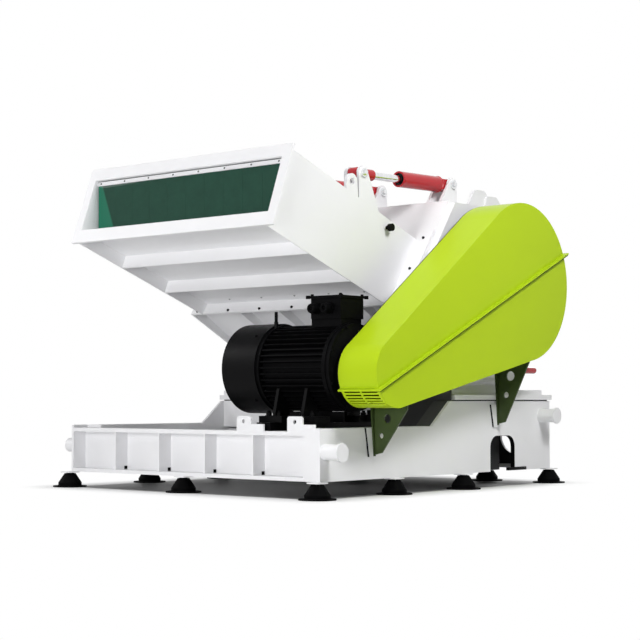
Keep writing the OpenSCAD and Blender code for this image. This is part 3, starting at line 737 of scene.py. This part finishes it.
# ---- Joint between the hopper and the housing ----
joint = {
    "foot": (1082.0, 1302.0),
    "lean": 35.0,
    "forward": 14.0,
    "row": (-960, -635, -315, 5, 320, 640, 960),
    "rowAlong": -9.0,
    "side": ((958.0, 287.0), (958.0, 566.0)),
    "bolt": (15.0, 8.0),
    "chuteRow": (-924, -599, -274, 51, 376, 701),
    "chuteSpot": (1043.0, 1384.6),  # [y, z] of the row on the chute's underside
    "chuteScrew": (7.5, 5.0),
}
jointOut = leaning(180 - joint["lean"])
jointUp = leaning(90 - joint["lean"])


def makeJointBolts(j):
    bm = bmesh.new()
    spots = [(x, j["rowAlong"]) for x in j["row"]]
    spots += [(side * x, along) for x, along in j["side"] for side in (-1, 1)]
    for x, along in spots:
        spot = place(x, *j["foot"]) + jointUp * metres(along) + jointOut * metres(j["forward"])
        addHexBolt(bm, spot, jointOut, *j["bolt"])
    newPiece("joint_bolts", bm, boltBlack, "hopper")


def makeChuteScrews(j):
    bm = bmesh.new()
    for x in j["chuteRow"]:
        addPanHead(bm, place(x, *j["chuteSpot"]), -chuteUp, *j["chuteScrew"])
    newPiece("chute_screws", bm, boltSteel, "hopper")


makeJointBolts(joint)
makeChuteScrews(joint)

# ---- Hydraulic cylinders ----
cylinders = {
    "across": (-833.0, -182.0, 182.0, 833.0),
    "rear": (1838.0, 2204.0),
    "front": (790.0, 2178.0),
    "glandAt": 534.0,
    "gland": ((28.2, 0), (44.4, 0), (44.4, 22), (41.4, 25), (37.2, 25),
              (37.2, 21), (33.2, 21), (31.2, 30), (28.2, 30)),
    "beadAt": 108.0,
    "bead": (57.0, 3.5, 8),
    "headAt": 81.0,
    "head": (36.0, 14.0),
    "collarAt": -67.2,
    "collar": ((20.2, 0), (31, 0), (31, 4), (30, 5), (20.2, 5)),
}


def makeCylinders(c):
    for number, x in enumerate(c["across"], 1):
        rear = place(x, *c["rear"])
        toFront = (place(x, *c["front"]) - rear).normalized()
        body = "cylinder_barrel_%d" % number
        bm = bmesh.new()
        addTurned(bm, rear + toFront * metres(c["glandAt"]), toFront, c["gland"])
        newPiece("gland_%d" % number, bm, boltBlack, body)
        # Weld bead where the barrel meets its end piece
        bm = bmesh.new()
        addTurned(bm, rear + toFront * metres(c["beadAt"]), toFront, roundWire(*c["bead"]))
        newPiece("barrel_bead_%d" % number, bm, cylinderRed, body)


def makePinHeads(c, name, spot, body):
    # A bolt head at the pins' right ends and a collar at the left
    bm = bmesh.new()
    for x in c["across"]:
        addHexBolt(bm, place(x + c["headAt"], *spot), (1, 0, 0), *c["head"], washer=False)
        addTurned(bm, place(x + c["collarAt"], *spot), (-1, 0, 0), c["collar"])
    newPiece(name, bm, brightSteel, body)


makeCylinders(cylinders)
makePinHeads(cylinders, "front_pin_heads", cylinders["front"], "hopper")
makePinHeads(cylinders, "rear_pin_heads", cylinders["rear"], "machine")
print("joint bolts and cylinders done")

# ---- Motor ----
motor = {
    "axis": (410.0, 838.0),
    "boxX": (853.0, 1107.0),
    "boxY": (293.0, 527.0),
    "boxZ": (1158.0, 1293.0),
}


def roundMotor(x, radius, degrees):
    # A point at an angle round the motor's axis, counted from +Y towards +Z
    return place(x, *motor["axis"]) + leaning(degrees) * metres(radius)


cowlGrille = {
    "face": 194.0,
    "rings": range(38, 262, 16),
    "wire": 2.2,
    "wireSides": 6,
    "off": 4.0,  # from the cowl's face to the rings' middle
    "ringSides": 64,
    "spokes": 6,
    "spokeOff": 2.2,
    "spokeFrom": 30.0,
    "spoke": (3.0, 232.0),
    "spokeSides": 8,
}


def makeCowlGrille(g):
    # Wire grille over the fan's air intake
    bm = bmesh.new()
    for radius in g["rings"]:
        wire = roundWire(radius, g["wire"], g["wireSides"], g["off"])
        addTurned(bm, place(g["face"], *motor["axis"]), (-1, 0, 0), wire, segments=g["ringSides"])
    for k in range(g["spokes"]):
        degrees = 360 / g["spokes"] * k
        start = roundMotor(g["face"] - g["spokeOff"], g["spokeFrom"], degrees)
        addRound(bm, start, leaning(degrees), *g["spoke"], segments=g["spokeSides"])
    newPiece("cowl_grille", bm, blackPaint, "machine")


motorScrews = {
    "cowlX": 454.0,
    "cowlRadius": 302.4,
    "cowlTurns": (45, 135, 225, 315),
    "cowlScrew": (12.0, 8.0),
    "shieldX": 1146.0,
    "shieldRadius": 276.0,
    "shieldTurns": [22.5 + 45 * k for k in range(8)],
    "shieldBolt": (16.0, 10.0),
    "footX": (613.0, 703.0, 901.0, 991.0),
    "footOut": 262.0,
    "footTop": 522.0,
    "footWasher": (26.0, 4.0),
    "footHead": (34.0, 18.0),
    "footStud": (11.0, 12.0),
}


def makeMotorScrews(s):
    bm = bmesh.new()
    for degrees in s["cowlTurns"]:
        spot = roundMotor(s["cowlX"], s["cowlRadius"], degrees)
        addPanHead(bm, spot, leaning(degrees), *s["cowlScrew"])
    newPiece("cowl_screws", bm, castBlack, "machine")
    bm = bmesh.new()
    for degrees in s["shieldTurns"]:
        spot = roundMotor(s["shieldX"], s["shieldRadius"], degrees)
        addHexBolt(bm, spot, (1, 0, 0), *s["shieldBolt"], washer=False)
    up = (0, 0, 1)
    headFrom = s["footTop"] + s["footWasher"][1]
    studFrom = headFrom + s["footHead"][1]
    for x in s["footX"]:
        for side in (-1, 1):
            y = motor["axis"][0] + side * s["footOut"]
            addRound(bm, place(x, y, s["footTop"]), up, *s["footWasher"], segments=24)
            addHexBolt(bm, place(x, y, headFrom), up, *s["footHead"], washer=False)
            addRound(bm, place(x, y, studFrom), up, *s["footStud"], segments=16)
    newPiece("motor_bolts", bm, castBlack, "machine")


# Dark sheets in the gaps between the motor's feet, painted shade where those gaps show through; given
# by their low and high corners
motorShadePlates = (
    ((562.0, 405.0, 481.0), (1042.0, 409.0, 550.0)),
    ((1047.0, 640.0, 481.0), (1112.0, 644.0, 560.0)),
)


def makeMotorShadePlates(corners):
    bm = bmesh.new()
    for low, high in corners:
        addPlate(bm, place(*low), place(*high))
    newPiece("motor_shade_plates", bm, blackPaint, "machine")


boxFittings = {
    "lidTop": 16.0,
    "boltIn": 6.0,
    "bolt": (18.0, 10.0),
    "glandX": (903.0, 1015.0),
    "glandUp": 66.0,
    "glandOut": 52.0,
    "gland": ((16, -4), (31, -4), (31, 10), (28, 14), (20, 14), (16, 10)),
    "nut": ((33.8, 0), (41, 0), (41, 12), (39, 14), (33.8, 14)),
    "earOut": 14.0,
    "earDown": 3.0,
    "ear": (14.5, 22.0),
}


def boxCorners(m, out):
    # [x, y] of the terminal box's corners, moved out by a distance
    return [(x, y) for x in (m["boxX"][0] - out, m["boxX"][1] + out)
            for y in (m["boxY"][0] - out, m["boxY"][1] + out)]


def makeTerminalBoxParts(m, f):
    bm = bmesh.new()
    for x, y in boxCorners(m, -f["boltIn"]):
        addHexBolt(bm, place(x, y, m["boxZ"][1] + f["lidTop"]), (0, 0, 1), *f["bolt"])
    y, z = m["boxY"][0], m["boxZ"][0] + f["glandUp"]
    for x in f["glandX"]:
        addTurned(bm, place(x, y - f["glandOut"], z), (0, -1, 0), f["gland"])
        addTurned(bm, place(x, y, z), (0, -1, 0), f["nut"], segments=6)
    newPiece("terminal_box_fittings", bm, castBlack, "machine")
    # Ears of the lid, one at each corner
    bm = bmesh.new()
    for x, y in boxCorners(m, f["earOut"]):
        addRound(bm, place(x, y, m["boxZ"][1] - f["earDown"]), (0, 0, 1), *f["ear"], segments=24)
    newPiece("terminal_lid_ears", bm, castBlack, "machine")


makeCowlGrille(cowlGrille)
makeMotorScrews(motorScrews)
makeMotorShadePlates(motorShadePlates)
makeTerminalBoxParts(motor, boxFittings)
print("motor parts done")

# ---- Belt guard ----
guard = {
    "outer": 1500.3,
    "slope": 0.4507,
    "start": (181.0, 687.0),  # [y, z] of a point on the joint between the covers
    "ends": (172.0, 2406.0),  # y at the front and rear end of the lip's painted shadow strip
    "gap": 0.4,
    "wide": 27.0,
    "thick": 6.0,
}


def makeGuardLipShade(g):
    # Dark green strip under the covers' lip, painted shade for the shadow the lip casts
    bm = bmesh.new()
    down = Vector((0, g["slope"], -1)).normalized()
    front, rear = [place(g["outer"], y, g["start"][1] + g["slope"] * (y - g["start"][0]))
                   for y in g["ends"]]
    corner = front + down * metres(g["gap"])
    wide, thick = Vector((metres(g["wide"]), 0, 0)), down * metres(g["thick"])
    addPrism(bm, [corner, corner + wide, corner + wide + thick, corner + thick], rear - front)
    newPiece("guard_lip_shade", bm, lipShadeGreen, "machine")


makeGuardLipShade(guard)

# ---- Base ----
base = {
    "side": 1178.0,
    "frontPegs": (50.0, 299.0),
    "rearPegs": (2570.0, 508.0),
    "leftPegTop": 376.0,  # the left beam is lower, and so are its pegs
    "pegBead": (50.0, 2.4, 8),
}
serviceArch = {
    "edges": (1897.0, 2215.0, 367.0),  # front and rear edge and top
    "foot": 111.0,
    "corner": 85.0,
    "steps": 10,
    "lining": ((0.5, 0.4), (0.5, 3.4), (34.0, 3.4), (34.0, 0.4)),  # depth and inset
    "strip": ((1160.0, 2126.0, 111.0), (1184.0, 2362.0, 134.0)),
    "baffle": ((1040.0, 1900.0, 112.0), (1044.0, 2212.0, 420.0)),
    "bevel": 2.0,
}


def archPath(a, inset):
    # Points of the service opening's edge in [y, z], drawn in by a distance
    y0, y1, top = a["edges"][0] + inset, a["edges"][1] - inset, a["edges"][2] - inset
    corner = a["corner"] - inset
    path = [(y0, a["foot"])]
    for middle, first in ((y0 + corner, math.pi), (y1 - corner, math.pi / 2)):
        for k in range(a["steps"] + 1):
            turn = first - math.pi / 2 * k / a["steps"]
            path.append((middle + corner * math.cos(turn), top - corner + corner * math.sin(turn)))
    path.append((y1, a["foot"]))
    return path


def makeArchShadeLining(a):
    # Black sheet lining the service opening, and a dark grey baffle behind it: painted shade for the
    # dark inside of the base
    bm = bmesh.new()
    rings = [[bm.verts.new(place(base["side"] - depth, y, z)) for y, z in archPath(a, inset)]
             for depth, inset in a["lining"]]
    addSkin(bm, rings, closed=False)
    for end in (0, -1):
        bm.faces.new([ring[end] for ring in rings])
    # Strip across the opening's foot
    addPlate(bm, *[place(*corner) for corner in a["strip"]], a["bevel"])
    newPiece("arch_shade_lining", bm, blackPaint, "machine")
    bm = bmesh.new()
    addPlate(bm, *[place(*corner) for corner in a["baffle"]])
    newPiece("arch_shade_baffle", bm, shadeGrey, "machine")


dischargeCollar = {
    "middle": (884.0, 352.0),
    "hole": 141.0,
    "left": 560.0,
    "right": 1034.0,
    "low": 137.0,
    "high": 596.0,
    "faces": (2671.0, 2674.8),
    "steps": 48,
    "least": 1e-6,  # keeps the divisions clear of nought
}


def makeDischargeCollar(d):
    # Dark grey collar plate round the discharge hole, on the rear plate's inner face: painted shade for
    # the dark inside of the base
    bm = bmesh.new()
    x, z = d["middle"]
    hole, rim = [], []
    for k in range(d["steps"]):
        turn = math.tau * k / d["steps"]
        c, s = math.cos(turn), math.sin(turn)
        hole.append((x + d["hole"] * c, z + d["hole"] * s))
        toSide = (d["right"] - x if c > 0 else x - d["left"]) / max(abs(c), d["least"])
        toEdge = (d["high"] - z if s > 0 else z - d["low"]) / max(abs(s), d["least"])
        reach = min(toSide, toEdge)
        rim.append((x + reach * c, z + reach * s))
    near, far = d["faces"]
    rings = [[bm.verts.new(place(px, y, pz)) for px, pz in points]
             for y, points in ((near, hole), (near, rim), (far, rim), (far, hole))]
    addSkin(bm, rings, closed=True)
    newPiece("discharge_collar", bm, shadeGrey, "machine")


def makePegWelds(b):
    bm = bmesh.new()
    bead = roundWire(*b["pegBead"])
    for y, z in (b["frontPegs"], b["rearPegs"]):
        addTurned(bm, place(b["side"], y, z), (1, 0, 0), bead, segments=48)
        leftSpot = place(-b["side"], y, min(z, b["leftPegTop"]))
        addTurned(bm, leftSpot, (-1, 0, 0), bead, segments=48)
    newPiece("peg_welds", bm, whitePaint, "machine")


notchShadePlugs = {
    "across": (-719.0, -280.0, 159.0, 598.0),
    "half": 9.0,
    "y": (86.0, 114.0),
    "z": (136.0, 160.0),
    "bevel": 2.0,
}


def makeNotchShadePlugs(d):
    # A dark block in the notch at the foot of each stiffener, painted shade where the notch shows the
    # cell beyond
    bm = bmesh.new()
    for x in d["across"]:
        low = place(x - d["half"], d["y"][0], d["z"][0])
        high = place(x + d["half"], d["y"][1], d["z"][1])
        addPlate(bm, low, high, d["bevel"])
    newPiece("notch_shade_plugs", bm, blackPaint, "machine")


footShadeStrips = {
    "edges": (((485.0, 256.0), (451.0, 446.0)), ((1927.0, 432.0), (1893.0, 592.0))),
    "out": (0.4, 11.8),  # from the beam's side
    "back": (-0.3, -3.0),
}


def makeFootShadeStrips(f):
    # Dark strip on the front edge of each plate under a guard bracket's foot, painted shade for that
    # edge in shadow
    bm = bmesh.new()
    near, far = f["out"]
    front, rear = f["back"]
    section = ((near, front), (far, front), (far, rear), (near, rear))
    for low, high in f["edges"]:
        outline = [place(base["side"] + out, low[0] + back, low[1]) for out, back in section]
        addPrism(bm, outline, place(0, *high) - place(0, *low))
    newPiece("foot_plate_shade_strips", bm, paintedShadeRubber, "machine")


makeFootShadeStrips(footShadeStrips)
makeNotchShadePlugs(notchShadePlugs)
makeArchShadeLining(serviceArch)
makeDischargeCollar(dischargeCollar)
makePegWelds(base)
print("base details done")
